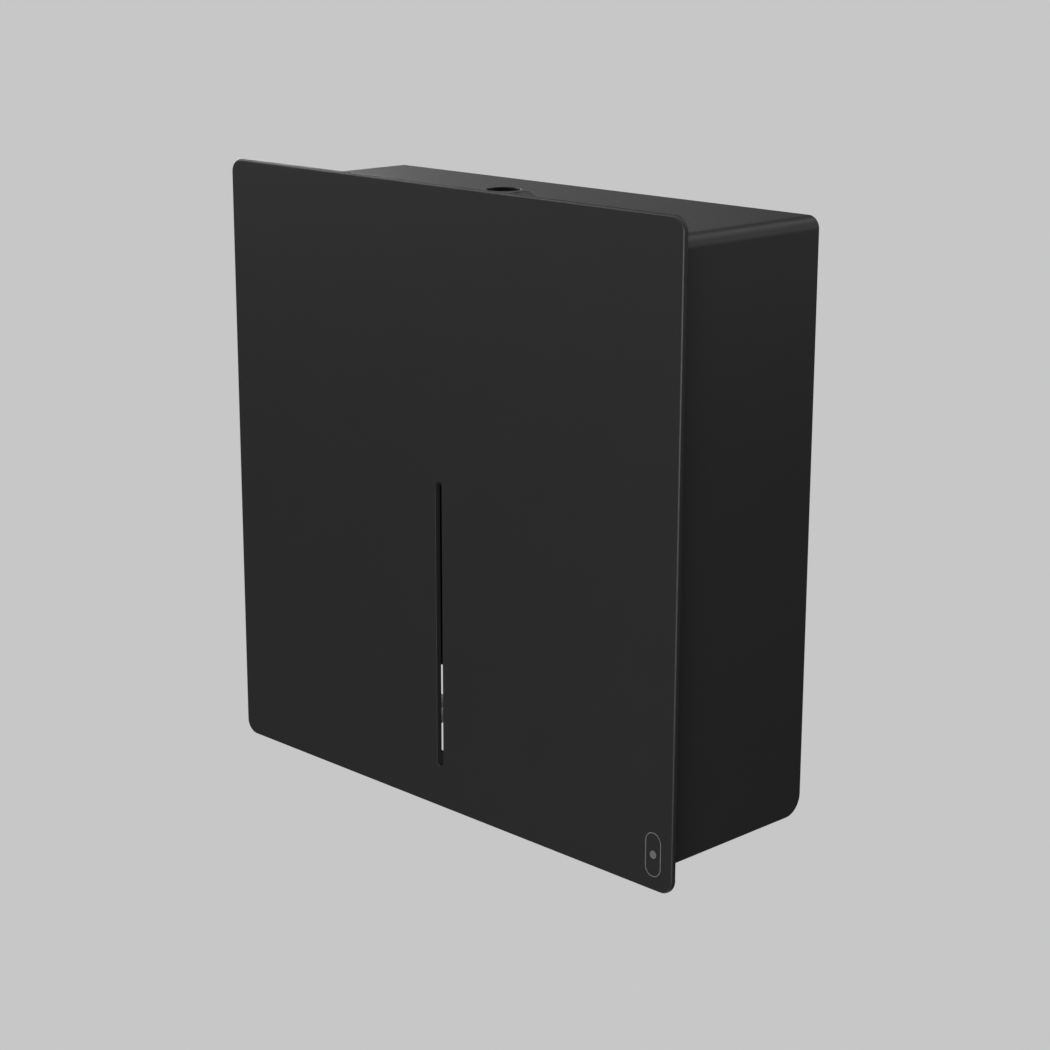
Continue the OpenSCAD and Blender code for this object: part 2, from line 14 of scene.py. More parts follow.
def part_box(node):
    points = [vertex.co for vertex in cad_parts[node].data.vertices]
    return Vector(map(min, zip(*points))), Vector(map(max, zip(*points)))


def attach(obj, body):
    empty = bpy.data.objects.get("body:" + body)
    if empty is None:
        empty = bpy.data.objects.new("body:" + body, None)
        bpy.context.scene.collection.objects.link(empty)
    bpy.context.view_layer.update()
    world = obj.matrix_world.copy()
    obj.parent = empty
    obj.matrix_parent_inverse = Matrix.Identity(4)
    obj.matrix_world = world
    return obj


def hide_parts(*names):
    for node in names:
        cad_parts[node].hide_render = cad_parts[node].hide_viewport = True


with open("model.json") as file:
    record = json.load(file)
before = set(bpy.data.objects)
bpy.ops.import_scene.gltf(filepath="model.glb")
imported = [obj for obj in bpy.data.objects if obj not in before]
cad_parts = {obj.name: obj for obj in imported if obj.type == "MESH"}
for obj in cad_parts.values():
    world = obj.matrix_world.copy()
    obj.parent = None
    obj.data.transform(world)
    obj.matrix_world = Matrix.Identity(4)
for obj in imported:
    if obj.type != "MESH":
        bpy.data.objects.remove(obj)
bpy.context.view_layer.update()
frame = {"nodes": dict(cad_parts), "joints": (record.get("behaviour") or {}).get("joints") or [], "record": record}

MM = 0.001

# ---- Sizes read from the frame ----------------------------------------------------------------

plate_low, plate_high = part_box("front_plate")
shell_low, shell_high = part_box("cover_shell")
wall_low, wall_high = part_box("wall_plate")
tray_low, tray_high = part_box("outlet_tray")
cheek_low, cheek_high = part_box("right_cheek")
keeper_low, keeper_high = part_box("keeper")
stiff_low, stiff_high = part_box("lower_stiffener")
hub_low, hub_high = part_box("roll_hub")
cap_low, cap_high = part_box("hub_cap")
post_low, post_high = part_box("roll_post")
disc_low, disc_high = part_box("backing_disc")
felt_low, felt_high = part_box("felt_brake_ring")
blade_low, blade_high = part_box("tear_blade_right")

SHEET = wall_high.y - wall_low.y
HINGE = Vector(next(j for j in frame["joints"] if j["name"] == "cover_tip")["pos_m"])
LOCK = Vector(next(j for j in frame["joints"] if j["name"] == "lock_turn")["pos_m"])
WALL_SCREWS = next(m for m in frame["record"]["mounts"] if m["name"] == "wall_screws")["dims"]

# Shapes that the frame's boxes don't give
PLATE_CORNER = 7.5 * MM
SLOT_WIDTH = 4.4 * MM
SLOT_LENGTH = 150 * MM
SLOT_FOOT = 22.4 * MM
BEND = 6.2 * MM
HEEL = HINGE.z - shell_low.z
KEY_HOLE = 17.5 * MM
FLANGE = 14 * MM
FLANGE_GAP = 16 * MM
PLATE_EDGE = 1.1 * MM
SLOT_EDGE = 0.25 * MM
SHEET_EDGE = 0.35 * MM
SUPPORT = 0.3 * MM
OVERLAP = 0.2 * MM

# ---- Plane outlines ---------------------------------------------------------------------------


def arc(centre, radius, start, end, steps):
    """Points on an arc between two angles in degrees, both ends included."""
    angles = [math.radians(start + (end - start) * k / steps) for k in range(steps + 1)]
    return [Vector((centre[0] + radius * math.cos(a), centre[1] + radius * math.sin(a))) for a in angles]


def circle(centre, radius, steps=48):
    """Points round a whole circle."""
    return arc(centre, radius, 0, 360, steps)[:-1]


def stadium(low, high, steps=14):
    """An upright slot with round ends that fills the box between two corners."""
    r = (high[0] - low[0]) / 2
    x = low[0] + r
    return arc((x, high[1] - r), r, 0, 180, steps) + arc((x, low[1] + r), r, 180, 360, steps)


def rounded(points, radius, steps=6):
    """A polygon whose corners are rounded. radius is one number, or one for each corner."""
    radii = radius if isinstance(radius, (list, tuple)) else [radius] * len(points)
    corners = [Vector(p) for p in points]
    made = []
    for i, corner in enumerate(corners):
        back = (corners[i - 1] - corner).normalized()
        ahead = (corners[(i + 1) % len(corners)] - corner).normalized()
        half = back.angle(ahead) / 2
        if radii[i] <= 0 or abs(half - math.pi / 2) < 1e-4:
            made.append(corner)
            continue
        reach = radii[i] / math.tan(half)
        middle = corner + (back + ahead).normalized() * radii[i] / math.sin(half)
        first = corner + back * reach - middle
        last = corner + ahead * reach - middle
        sweep = first.angle_signed(last)
        for k in range(steps + 1):
            made.append(middle + Matrix.Rotation(-sweep * k / steps, 2) @ first)
    return made


def box_outline(low, high, radius, steps=6):
    """A rectangle between two corners, with rounded corners."""
    return rounded([low, (high[0], low[1]), high, (low[0], high[1])], radius, steps)


def area(loop):
    """The area in a loop, which is below zero if the loop runs clockwise."""
    return sum(a.x * b.y - b.x * a.y for a, b in zip(loop, loop[1:] + loop[:1])) / 2


def inset(loop, distance):
    """The loop moved to its left by a distance, which is into the sheet it bounds."""
    shifted = []
    for i, point in enumerate(loop):
        before = (point - loop[i - 1]).normalized()
        after = (loop[(i + 1) % len(loop)] - point).normalized()
        left = Vector((-before.y - after.y, before.x + after.x)).normalized()
        lean = max(0.3, left.dot(Vector((-before.y, before.x))))
        shifted.append(point + left * distance / lean)
    return shifted


# ---- Solids -----------------------------------------------------------------------------------


def sheet(outline, holes, thickness, edge, steps=3, support=0.35 * MM, hole_edges=None):
    """A flat plate with rounded edges, in (u, v, w) with w from 0 to its thickness.

    The holes' edges have the outline's radius unless they are given their own, one for each hole.
    """
    loops = [outline if area(outline) > 0 else outline[::-1]]
    loops += [hole if area(hole) < 0 else hole[::-1] for hole in holes]
    edges = [edge, *(hole_edges or [edge] * len(holes))]
    turns = [math.pi / 2 * k / steps for k in range(steps + 1)]
    bm = bmesh.new()
    rows = [[] for k in range(2 * steps + 4)]
    for loop, radius in zip(loops, edges):
        lower = [(radius * (1 - math.sin(a)), radius * (1 - math.cos(a))) for a in turns]
        upper = [(d, thickness - w) for d, w in reversed(lower)]
        margin = radius + min(support, 2 * radius)
        levels = [(margin, 0.0), *lower, *upper, (margin, thickness)]
        for row, (distance, w) in zip(rows, levels):
            row.append([bm.verts.new((p.x, p.y, w)) for p in inset(loop, distance)])
    for below, above in zip(rows, rows[1:]):
        for low, high in zip(below, above):
            for i in range(len(low)):
                j = (i + 1) % len(low)
                bm.faces.new((low[i], low[j], high[j], high[i]))
    for row in (rows[0], rows[-1]):
        flat = [v for loop in row for v in loop]
        polygon = [[v.co.copy() for v in loop] for loop in row]
        for corners in tessellate_polygon(polygon):
            bm.faces.new([flat[c] for c in corners])
    return bm


def fold(bm, axis, at, side, outer, steps=8, support=0.35 * MM):
    """Folds the part of a sheet beyond a line through a right angle, towards +w.

    axis is 0 or 1 for a line across u or v, side is the side of the line that turns, and outer is the
    bend's outer radius, measured to the plane w = 0.
    """
    length = outer * math.pi / 2
    stations = [-support] + [length * k / steps for k in range(steps + 1)] + [length + support]
    normal = Vector((axis == 0, axis == 1, 0))
    for s in stations:
        everything = bm.verts[:] + bm.edges[:] + bm.faces[:]
        place = normal * (at + side * s)
        bmesh.ops.bisect_plane(bm, geom=everything, plane_co=place, plane_no=normal, dist=1e-7)
    for v in bm.verts:
        s = side * (v.co[axis] - at)
        if s <= 0:
            continue
        turn = min(s / length, 1) * math.pi / 2
        extra = max(s - length, 0)
        radius = outer - v.co.z
        v.co[axis] = at + side * (radius * math.sin(turn) + extra * math.cos(turn))
        v.co.z = outer - radius * math.cos(turn) + extra * math.sin(turn)


def fold_length(height, outer):
    """How far a flat sheet runs past a fold's line to stand that high once folded."""
    return outer * math.pi / 2 + height - outer


def lathe(profile, steps=64):
    """A closed outline of (radius, w) points turned about the w axis."""
    bm = bmesh.new()
    rings = []
    for radius, w in profile:
        if radius < 1e-7:
            rings.append([bm.verts.new((0, 0, w))] * steps)
            continue
        turns = [2 * math.pi * k / steps for k in range(steps)]
        rings.append([bm.verts.new((radius * math.cos(a), radius * math.sin(a), w)) for a in turns])
    for low, high in zip(rings, rings[1:] + rings[:1]):
        for i in range(steps):
            j = (i + 1) % steps
            corners = list(dict.fromkeys((low[i], low[j], high[j], high[i])))
            if len(corners) > 2:
                bm.faces.new(corners)
    return bm


def turned(points, edge, steps=3):
    """A lathe outline with every corner off the axis rounded."""
    radii = [0 if p[0] < 1e-7 else edge for p in points]
    return [(p.x, p.y) for p in rounded(points, radii, steps)]


# Which way a solid's own (u, v, w) axes point in the frame
ALONG_Y = Matrix(((1, 0, 0), (0, 0, -1), (0, 1, 0))).to_4x4()      # u = x, v = z, w = -y
ALONG_X = Matrix(((0, 0, 1), (1, 0, 0), (0, 1, 0))).to_4x4()       # u = y, v = z, w = x
INWARD_X = Matrix(((0, 0, -1), (1, 0, 0), (0, 1, 0))).to_4x4()     # u = y, v = z, w = -x
UPRIGHT = Matrix.Identity(4)                                        # u = x, v = y, w = z


def moved(bm, matrix, place=(0, 0, 0)):
    """The solid turned by a matrix and then put at its place."""
    bmesh.ops.transform(bm, matrix=Matrix.Translation(place) @ matrix, verts=bm.verts)
    return bm


def joined(*parts):
    """Several solids in one mesh."""
    whole = bmesh.new()
    for part in parts:
        made = bpy.data.meshes.new("part")
        part.to_mesh(made)
        part.free()
        whole.from_mesh(made)
        bpy.data.meshes.remove(made)
    return whole


def mirrored(bm):
    """A copy of a solid on the other side of the plane x = 0."""
    copy = bm.copy()
    bmesh.ops.transform(copy, matrix=Matrix.Scale(-1, 4, (1, 0, 0)), verts=copy.verts)
    return copy


def piece(bm, name, body, material, slot, *nodes, sharp=40):
    """Makes a mesh object that rides on a body and stands for CAD nodes."""
    bmesh.ops.recalc_face_normals(bm, faces=bm.faces)
    mesh = bpy.data.meshes.new(name)
    bm.to_mesh(mesh)
    bm.free()
    mesh.polygons.foreach_set("use_smooth", [True] * len(mesh.polygons))
    mesh.set_sharp_from_angle(angle=math.radians(sharp))
    obj = bpy.data.objects.new(name, mesh)
    bpy.context.scene.collection.objects.link(obj)
    mesh.materials.append(material)
    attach(obj, body)
    if nodes:
        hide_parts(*nodes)
    return obj


def refined(node, body, material, slot, width):
    """A copy of a CAD node with its triangles merged into faces and its edges rounded."""
    bm = bmesh.new()
    bm.from_mesh(frame["nodes"][node].data)
    bmesh.ops.remove_doubles(bm, verts=bm.verts, dist=1e-6)
    bmesh.ops.dissolve_limit(bm, angle_limit=math.radians(1), verts=bm.verts, edges=bm.edges)
    obj = piece(bm, f"{node}_finished", body, material, slot, node)
    bevel = obj.modifiers.new("round_edges", "BEVEL")
    bevel.width = width
    bevel.segments = 2
    bevel.limit_method = "ANGLE"
    bevel.angle_limit = math.radians(35)
    bevel.use_clamp_overlap = True
    bevel.harden_normals = True
    return obj


# ---- Materials --------------------------------------------------------------------------------


def new_material(name, **sockets):
    """A Principled material and its node tree; each named socket is set on the shader itself."""
    material = bpy.data.materials.new(name)
    material.use_nodes = True
    tree = material.node_tree
    shader = tree.nodes["Principled BSDF"]
    for socket, value in sockets.items():
        shader.inputs[socket.replace("_", " ").replace("Ior", "IOR")].default_value = value
    return material, tree, shader


def noise(tree, scale, detail=2.0, stretch=(1, 1, 1)):
    """Noise in the piece's own coordinates; scale is in features a metre."""
    where = tree.nodes.new("ShaderNodeTexCoord")
    mapping = tree.nodes.new("ShaderNodeMapping")
    mapping.inputs["Scale"].default_value = [scale * s for s in stretch]
    tree.links.new(where.outputs["Object"], mapping.inputs["Vector"])
    texture = tree.nodes.new("ShaderNodeTexNoise")
    texture.inputs["Scale"].default_value = 1.0
    texture.inputs["Detail"].default_value = detail
    tree.links.new(mapping.outputs["Vector"], texture.inputs["Vector"])
    return texture.outputs["Fac"]


def spread(tree, source, low, high):
    """Maps a noise to a range of values."""
    remap = tree.nodes.new("ShaderNodeMapRange")
    remap.inputs["From Min"].default_value = 0.3
    remap.inputs["From Max"].default_value = 0.7
    remap.inputs["To Min"].default_value = low
    remap.inputs["To Max"].default_value = high
    tree.links.new(source, remap.inputs["Value"])
    return remap.outputs["Result"]


def tinted(tree, shader, source, dark, light):
    """Mixes two colours by a noise into the shader's base colour."""
    mix = tree.nodes.new("ShaderNodeMix")
    mix.data_type = "RGBA"
    mix.inputs["A"].default_value = (*dark, 1)
    mix.inputs["B"].default_value = (*light, 1)
    tree.links.new(source, mix.inputs["Factor"])
    tree.links.new(mix.outputs["Result"], shader.inputs["Base Color"])


def relief(tree, shader, layers):
    """Chains bumps, each a (noise, height in metres) pair, into the shader's normal."""
    normal = None
    for source, height in layers:
        bump = tree.nodes.new("ShaderNodeBump")
        bump.inputs["Strength"].default_value = 1.0
        bump.inputs["Distance"].default_value = height
        tree.links.new(source, bump.inputs["Height"])
        if normal is not None:
            tree.links.new(normal, bump.inputs["Normal"])
        normal = bump.outputs["Normal"]
    tree.links.new(normal, shader.inputs["Normal"])


def grey(value):
    """A colour with three equal parts."""
    return (value, value, value)


def powder_coat(name, shade, rough, peel=0.006 * MM, shine=0.5):
    """Baked powder: nearly even black, with a soft orange peel and a fine sparkle of grain."""
    material, tree, shader = new_material(name, Metallic=0.0, IOR=1.5, Specular_IOR_Level=shine)
    cloud = noise(tree, 35, 3)
    tinted(tree, shader, cloud, grey(shade * 0.94), grey(shade * 1.06))
    tree.links.new(spread(tree, noise(tree, 900, 2), rough - 0.03, rough + 0.03), shader.inputs["Roughness"])
    relief(tree, shader, [(noise(tree, 650, 2), peel), (noise(tree, 4200, 1), peel * 0.2)])
    return material


def plated_steel(name, shade, rough, grain=(1, 1, 1), scale=1500, depth=0.004 * MM):
    """Metal with a directional or even grain."""
    material, tree, shader = new_material(name, Metallic=1.0)
    lines = noise(tree, scale, 4, grain)
    tinted(tree, shader, noise(tree, 60, 3), grey(shade * 0.85), grey(shade * 1.1))
    tree.links.new(spread(tree, lines, rough - 0.07, rough + 0.08), shader.inputs["Roughness"])
    relief(tree, shader, [(lines, depth)])
    return material


def moulded_plastic(name, shade, rough, grain=0.02 * MM):
    """Plastic from a spark-eroded mould."""
    material, tree, shader = new_material(name, Metallic=0.0, IOR=1.48)
    tinted(tree, shader, noise(tree, 80, 2), [c * 0.92 for c in shade], [c * 1.08 for c in shade])
    tree.links.new(spread(tree, noise(tree, 1800, 3), rough - 0.04, rough + 0.05), shader.inputs["Roughness"])
    relief(tree, shader, [(noise(tree, 2200, 3), grain)])
    return material


def pressed_felt(name, shade):
    """Wool felt: matted fibres and a soft sheen."""
    material, tree, shader = new_material(name, Roughness=0.95, Sheen_Weight=0.4, Sheen_Roughness=0.5)
    fibres = noise(tree, 2600, 6, (1, 3, 1))
    tinted(tree, shader, fibres, grey(shade * 0.6), grey(shade * 1.5))
    relief(tree, shader, [(fibres, 0.12 * MM), (noise(tree, 900, 4, (3, 1, 1)), 0.1 * MM)])
    return material


BLACK = powder_coat("black_powder_coat", 0.0205, 0.46)
CHASSIS = powder_coat("chassis_powder_coat", 0.016, 0.55, peel=0.012 * MM)
# A darker, less shiny copy of the black coat for the mark's floor: painted shade of the recess
MARK_SHADE_COAT = powder_coat("mark_painted_shade_coat", 0.018, 0.52, peel=0.003 * MM, shine=0.12)
ZINC = plated_steel("bright_zinc_plate", 0.55, 0.34)
BLADE = plated_steel("rolled_stainless", 0.5, 0.3, grain=(1, 0.03, 1), scale=2600)
CAST = plated_steel("dark_cast_zinc", 0.1, 0.42, scale=1100, depth=0.01 * MM)
PLASTIC = moulded_plastic("black_moulded_plastic", (0.018, 0.018, 0.019), 0.5)
NYLON = moulded_plastic("natural_nylon", (0.72, 0.69, 0.6), 0.45)
RUBBER = moulded_plastic("black_rubber", (0.014, 0.014, 0.014), 0.75, grain=0.03 * MM)
FELT = pressed_felt("grey_felt", 0.1)
EMBLEM = moulded_plastic("grey_enamel_print", (0.17, 0.17, 0.17), 0.5, grain=0.004 * MM)

# ---- Cover ------------------------------------------------------------------------------------


def front_plate():
    """The square front plate, whose outer edge is softly rounded and whose slot is crisp."""
    outline = box_outline(plate_low.xz, plate_high.xz, PLATE_CORNER, 14)
    low = Vector((-SLOT_WIDTH / 2, plate_low.z + SLOT_FOOT))
    slot = stadium(low, low + Vector((SLOT_WIDTH, SLOT_LENGTH)))
    bm = sheet(outline, [slot], plate_high.y - plate_low.y, PLATE_EDGE, 5, 0.4 * MM, [SLOT_EDGE])
    moved(bm, ALONG_Y, (0, plate_high.y, 0))
    return piece(bm, "front_plate_panel", "cover", BLACK, "black_coat", "front_plate")


# Corners of the pressed mark beside the key hole, and how deep each lies, in mm
KEY_MARK = {(-13.5, -31.6): 0.03, (-13.5, -58): 0.7, (24.6, -58): 0.03}
MARK_EDGE = 0.02 * MM
MARK_THICKNESS = 0.8
MARK_OVERLAP = 1.05


def cover_shell():
    """Top and two sides folded from one sheet, with flanges behind the front plate."""
    top = shell_high.z
    half = shell_high.x
    drop = fold_length(top - shell_low.z, BEND)
    line = half - BEND
    reach = line + drop
    front, rear = shell_low.y, shell_high.y
    # Flat pattern seen from below: u runs across the sheet and v from the wall forwards
    outline = rounded(
        [(-reach, -rear), (reach, -rear), (reach, -front), (-reach, -front)],
        [HEEL, HEEL, 0.8 * MM, 0.8 * MM], 16)
    hole = circle((LOCK.x, -LOCK.y), KEY_HOLE / 2, 64)
    mark = [Vector((x, -y)) * MM for x, y in KEY_MARK]
    bm = sheet(outline, [hole, mark], SHEET, SHEET_EDGE, 2, SUPPORT, [SHEET_EDGE, MARK_EDGE])
    fold(bm, 0, line, 1, BEND, steps=12)
    fold(bm, 0, -line, -1, BEND, steps=12)
    down = Matrix(((1, 0, 0), (0, -1, 0), (0, 0, -1))).to_4x4()
    moved(bm, down, (0, 0, top))
    parts = [bm]
    inner_half = half - SHEET
    inner_top = top - SHEET
    corners = []
    for sign in (-1, 1):
        x0, x1 = sorted((sign * (inner_half - FLANGE), sign * (inner_half + OVERLAP)))
        corners.append(((x0, shell_low.z + 0.3 * MM), (x1, inner_top - FLANGE_GAP)))
    span = inner_half - FLANGE_GAP
    corners.append(((-span, inner_top - FLANGE), (span, inner_top + OVERLAP)))
    for low, high in corners:
        flange = sheet(box_outline(low, high, 1.2 * MM), [], SHEET, 0.3 * MM, 2)
        parts.append(moved(flange, ALONG_Y, (0, front + SHEET, 0)))
    return piece(joined(*parts), "cover_shell_folded", "cover", BLACK, "black_coat", "cover_shell")


def mark_panel():
    """The pressed mark's sloping floor, in a darker and less shiny copy of the black coat that paints the shade of
    its recess, which closes its window in the shell.
    """
    bm = bmesh.new()
    middle = sum((Vector(p) for p in KEY_MARK), Vector((0, 0))) / 3
    rims = []
    for below in (0, MARK_THICKNESS):
        rim = []
        for corner, depth in KEY_MARK.items():
            x, y = (middle + (Vector(corner) - middle) * MARK_OVERLAP) * MM
            rim.append(bm.verts.new((x, y, shell_high.z - (depth + below) * MM)))
        rims.append(rim)
    upper, lower = rims
    bm.faces.new(upper)
    bm.faces.new(lower[::-1])
    for i in range(3):
        j = (i + 1) % 3
        bm.faces.new((upper[i], lower[i], lower[j], upper[j]))
    return piece(bm, "key_mark_panel", "cover", MARK_SHADE_COAT, "black_coat")


def lower_stiffener():
    """An angle behind the plate's free lower edge."""
    lip = stiff_high.y - stiff_low.y
    height = stiff_high.z - stiff_low.z
    outline = rounded(
        [(stiff_low.y, stiff_low.z), (stiff_low.y + lip, stiff_low.z),
         (stiff_low.y + lip, stiff_low.z + SHEET),
         (stiff_low.y + SHEET, stiff_low.z + SHEET), (stiff_low.y + SHEET, stiff_low.z + height),
         (stiff_low.y, stiff_low.z + height)],
        [2 * MM, 0.3 * MM, 0.3 * MM, 0.7 * MM, 0.3 * MM, 0.3 * MM], 5)
    bm = sheet(outline, [], stiff_high.x - stiff_low.x, 0.25 * MM, 2, support=0.2 * MM)
    moved(bm, ALONG_X, (stiff_low.x, 0, 0))
    return piece(bm, "lower_stiffener_folded", "cover", BLACK, "black_coat", "lower_stiffener")


def emblem():
    """A plain printed capsule outline with a dot, at the plate's lower right corner."""
    low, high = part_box("emblem")
    depth, line = high.y - low.y, 0.5 * MM
    inner = Vector((line, line))
    outline = stadium(low.xz, high.xz, 20)
    window = stadium(low.xz + inner, high.xz - inner, 20)
    ring = sheet(outline, [window], depth, 0.03 * MM, 2, 0.05 * MM)
    dot = sheet(circle(((low + high) / 2).xz, 2 * MM, 32), [], depth, 0.03 * MM, 2, 0.05 * MM)
    bm = moved(joined(ring, dot), ALONG_Y, (0, high.y, 0))
    return piece(bm, "emblem_print", "cover", EMBLEM, "emblem_grey", "emblem")


def closing_bumpers():
    """Domed rubber buttons in the shell's flanges."""
    low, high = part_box("closing_bumpers")
    radius = (high.z - low.z) / 2
    length = high.y - low.y
    stem = 1.5 * MM
    parts = []
    for sign in (-1, 1):
        profile = turned([(0, 0), (stem, 0), (stem, SHEET), (radius, SHEET), (radius, length - 1 * MM),
                          (radius - 1.5 * MM, length), (0, length)], 0.5 * MM)
        bm = lathe(profile, 32)
        centre = (sign * (high.x - radius), low.y, (low.z + high.z) / 2)
        parts.append(moved(bm, Matrix.Rotation(-math.pi / 2, 4, "X"), centre))
    return piece(joined(*parts), "closing_bumper_buttons", "cover", RUBBER, "rubber", "closing_bumpers")


# ---- Chassis ----------------------------------------------------------------------------------


WALL_RIVETS = ("cheek_rivets", "keeper_rivets", "post_rivets")
RIVET_HOLE = 4.1 * MM


def wall_plate():
    """The flat plate on the wall, with its four screw holes and its rivet holes."""
    outline = box_outline(wall_low.xz, wall_high.xz, 8 * MM, 8)
    half_x, half_z = WALL_SCREWS["spacing_x_mm"] * MM / 2, WALL_SCREWS["spacing_y_mm"] * MM / 2
    radius = WALL_SCREWS["hole_r_mm"] * MM
    holes = [circle((x, z), radius, 32) for x in (-half_x, half_x) for z in (-half_z, half_z)]
    rivets = [c for node in WALL_RIVETS for c in solid_centres(node)]
    edges = [SHEET_EDGE] * len(holes) + [0.1 * MM] * len(rivets)
    holes += [circle((c.x, c.z), RIVET_HOLE / 2, 24) for c in rivets]
    bm = sheet(outline, holes, SHEET, SHEET_EDGE, 2, SUPPORT, edges)
    moved(bm, ALONG_Y, (0, wall_high.y, 0))
    return piece(bm, "wall_plate_sheet", "chassis", CHASSIS, "chassis_coat", "wall_plate")


def cheek():
    """The right cheek: a web that carries the hinge, folded to the wall plate and to a front tab."""
    bend = 2.4 * MM
    rear, front = cheek_high.y, cheek_low.y
    low = cheek_low.z
    tab = fold_length(11.5 * MM, bend)
    foot = fold_length(27.5 * MM, bend)
    rear_line, front_line = rear - bend, front + bend
    top, ledge, tab_low = cheek_high.z, -134 * MM, -147.5 * MM
    web = [
        (rear_line, low), (rear_line, ledge), (rear_line + foot, ledge), (rear_line + foot, top),
        (rear_line, top), (-18 * MM, top), (-42 * MM, -126 * MM), (front_line, ledge),
        (front_line - tab, ledge), (front_line - tab, tab_low), (front_line, tab_low), (front_line, low)
    ]
    radii = [v * MM for v in (1, 0, 3, 3, 0, 6, 10, 0, 2, 2, 0, 0)]
    holes = [circle((HINGE.y, HINGE.z), 4 * MM, 32)]
    bm = sheet(rounded(web, radii, 6), holes, SHEET, 0.3 * MM, 2)
    fold(bm, 0, rear_line, 1, bend)
    fold(bm, 0, front_line, -1, bend)
    return moved(bm, INWARD_X, (cheek_high.x, 0, 0))


def cheeks():
    """The two cheeks, each the other's mirror image."""
    right = cheek()
    left = mirrored(right)
    piece(right, "right_cheek_folded", "chassis", CHASSIS, "chassis_coat", "right_cheek")
    piece(left, "left_cheek_folded", "chassis", CHASSIS, "chassis_coat", "left_cheek")


def outlet_tray():
    """The bottom tray: flat beside the outlet, with a flange folded up inside each cheek."""
    bend = 2.2 * MM
    half = tray_high.x
    line = half - bend
    rise = fold_length(tray_high.z - tray_low.z, bend)
    front, rear = tray_low.y, tray_high.y
    flange_front, flange_rear = -92 * MM, -40 * MM
    right = [(line, front), (line, flange_front), (line + rise, flange_front), (line + rise, flange_rear),
             (line, flange_rear), (line, rear)]
    outline = rounded(
        [(-line, front), *right, *((-x, y) for x, y in right[:0:-1])],
        [v * MM for v in (1, 1, 0, 2, 2, 0, 1, 1, 0, 2, 2, 0)], 6)
    opening = box_outline((-blade_edge(), -91 * MM), (blade_edge(), -15 * MM), 1.5 * MM)
    bm = sheet(outline, [opening], SHEET, 0.3 * MM, 2)
    fold(bm, 0, line, 1, bend)
    fold(bm, 0, -line, -1, bend)
    moved(bm, UPRIGHT, (0, 0, tray_low.z))
    return piece(bm, "outlet_tray_folded", "chassis", CHASSIS, "chassis_coat", "outlet_tray")


def blade_edge():
    """Half the outlet's width, where the tear blades' teeth start."""
    return blade_high.x - 14 * MM


def tear_blades():
    """Two steel strips whose teeth lean out over the outlet."""
    pitch, depth = 4 * MM, 2.4 * MM
    edge = blade_edge()
    rear = blade_high.y
    count = int((blade_high.y - blade_low.y) / pitch + 0.5)
    strip = [Vector((blade_high.x, blade_low.y)), Vector((blade_high.x, rear))]
    teeth = []
    for i in range(count):
        y = rear - i * pitch
        teeth += [Vector((edge, y)), Vector((edge - depth, y - pitch / 2))]
    outline = strip + teeth + [Vector((edge, blade_low.y))]
    right = sheet(outline, [], blade_high.z - blade_low.z, 0.12 * MM, 2, support=0.1 * MM)
    moved(right, UPRIGHT, (0, 0, blade_low.z))
    left = mirrored(right)
    piece(right, "tear_blade_right_strip", "chassis", BLADE, "bare_blade_steel", "tear_blade_right", sharp=30)
    piece(left, "tear_blade_left_strip", "chassis", BLADE, "bare_blade_steel", "tear_blade_left", sharp=30)


def keeper():
    """The hooked bracket that the lock's cam turns behind."""
    front, rear = keeper_low.y, keeper_high.y
    low, top = keeper_low.z, keeper_high.z
    lip_low = top - 12 * MM
    outline = rounded(
        [(rear, low), (rear, top), (front, top), (front, lip_low), (front + SHEET, lip_low),
         (front + SHEET, top - SHEET), (rear - SHEET, top - SHEET), (rear - SHEET, low)],
        [v * MM for v in (0.3, 2.4, 2.4, 0.3, 0.3, 0.9, 0.9, 0.3)], 6)
    bm = sheet(outline, [], keeper_high.x - keeper_low.x, 0.3 * MM, 2, support=0.2 * MM)
    moved(bm, ALONG_X, (keeper_low.x, 0, 0))
    return piece(bm, "keeper_bracket", "chassis", ZINC, "zinc_steel", "keeper")


FORWARD = Matrix.Rotation(math.pi / 2, 4, "X")      # a lathe's w axis turned to face -y


def roll_post():
    """The fixed post with its riveted foot flange and a chamfered end."""
    length = post_high.y - post_low.y
    post = 8 * MM
    profile = turned([(0, 0), (25 * MM, 0), (25 * MM, 2.5 * MM), (post, 2.5 * MM), (post, length - 0.8 * MM),
                      (post - 0.8 * MM, length), (0, length)], 0.25 * MM)
    bm = moved(lathe(profile), FORWARD, (0, post_high.y, 0))
    return piece(bm, "roll_post_turned", "chassis", ZINC, "zinc_steel", "roll_post")


def backing_disc():
    """The disc behind the roll, with a rolled rim and two moulded rings."""
    thick = disc_high.y - disc_low.y
    outer = (disc_high.x - disc_low.x) / 2
    low = thick * 0.6
    profile = turned([(8 * MM, 0), (outer, 0), (outer, thick), (outer - 3 * MM, thick), (outer - 4 * MM, low),
                      (42 * MM, low), (41 * MM, thick), (39 * MM, thick), (38 * MM, low),
                      (29 * MM, low), (28 * MM, thick), (8 * MM, thick)], 0.2 * MM)
    bm = moved(lathe(profile, 96), FORWARD, (0, disc_high.y, 0))
    return piece(bm, "backing_disc_moulded", "chassis", PLASTIC, "black_plastic", "backing_disc")


def felt_ring():
    """The felt washer that brakes the hub."""
    thick = felt_high.y - felt_low.y
    outer = (felt_high.x - felt_low.x) / 2
    bore = 8.6 * MM
    profile = turned([(bore, 0), (outer, 0), (outer, thick), (bore, thick)], 0.5 * MM)
    bm = moved(lathe(profile, 96), FORWARD, (0, felt_high.y, 0))
    return piece(bm, "felt_ring_pressed", "chassis", FELT, "felt", "felt_brake_ring")


# ---- Hub --------------------------------------------------------------------------------------

HUB_FLUTES = 18


def flute_depth(angle):
    """How far a flute between two grip ribs lies below the hub's surface at an angle."""
    wave = math.cos(angle * HUB_FLUTES)
    return 0.7 * MM * max(0.0, min(1.0, wave * 2 + 0.4))


